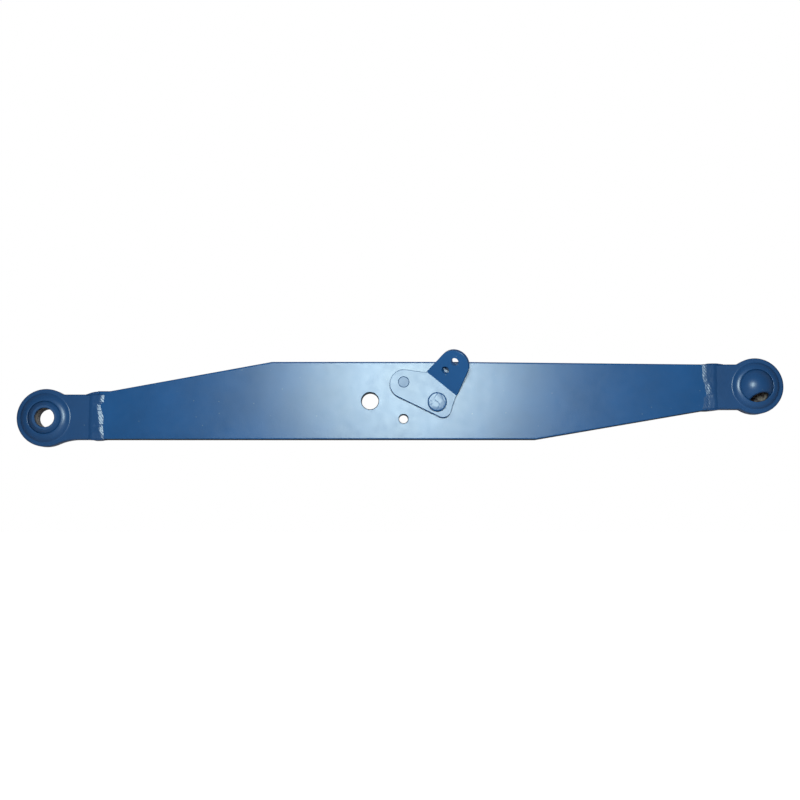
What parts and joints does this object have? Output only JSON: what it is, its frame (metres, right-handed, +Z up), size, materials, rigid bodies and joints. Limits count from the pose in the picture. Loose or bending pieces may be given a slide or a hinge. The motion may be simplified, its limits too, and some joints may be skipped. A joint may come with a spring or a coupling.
{
  "type": "tractor lower link",
  "caption": "Flat steel lower link with a swivelling ball in a forged socket at each end and a riveted check-chain bracket with a bent tab.",
  "frame": {"origin": "centre of the front ball, the one at the tractor, which is the middle of its bore", "axes": "+X along the link from the tractor to the implement, +Z up, +Y towards the tractor's middle; the bracket's face looks along -Y"},
  "size_m": [0.8988, 0.0604, 0.1114],
  "materials": {
    "blue_paint": "satin",
    "ball_steel": "satin"
  },
  "bodies": {
    "link": {"link_bar": "blue_paint", "front_socket": "blue_paint", "rear_socket": "blue_paint", "check_bracket": "blue_paint", "bracket_rivet": "blue_paint", "bracket_pin": "blue_paint", "front_weld_outer": "blue_paint", "front_weld_inner": "blue_paint", "front_weld_top": "blue_paint", "front_weld_bottom": "blue_paint", "rear_weld_outer": "blue_paint", "rear_weld_inner": "blue_paint", "rear_weld_top": "blue_paint", "rear_weld_bottom": "blue_paint"},
    "front_swivel_ball": {"front_ball": "ball_steel"},
    "rear_swivel_ball": {"rear_ball": "ball_steel"}
  },
  "joints": [
    {"name": "front_ball_swivel", "type": "hinge", "parent": "link", "child": "front_swivel_ball", "pos_m": [0, 0, 0], "axis": [0.2588, 0, 0.9659], "continuous": true},
    {"name": "rear_ball_swivel", "type": "hinge", "parent": "link", "child": "rear_swivel_ball", "pos_m": [0.832, 0, 0.0373], "axis": [0.9703, 0, 0.2419], "continuous": true}
  ]
}
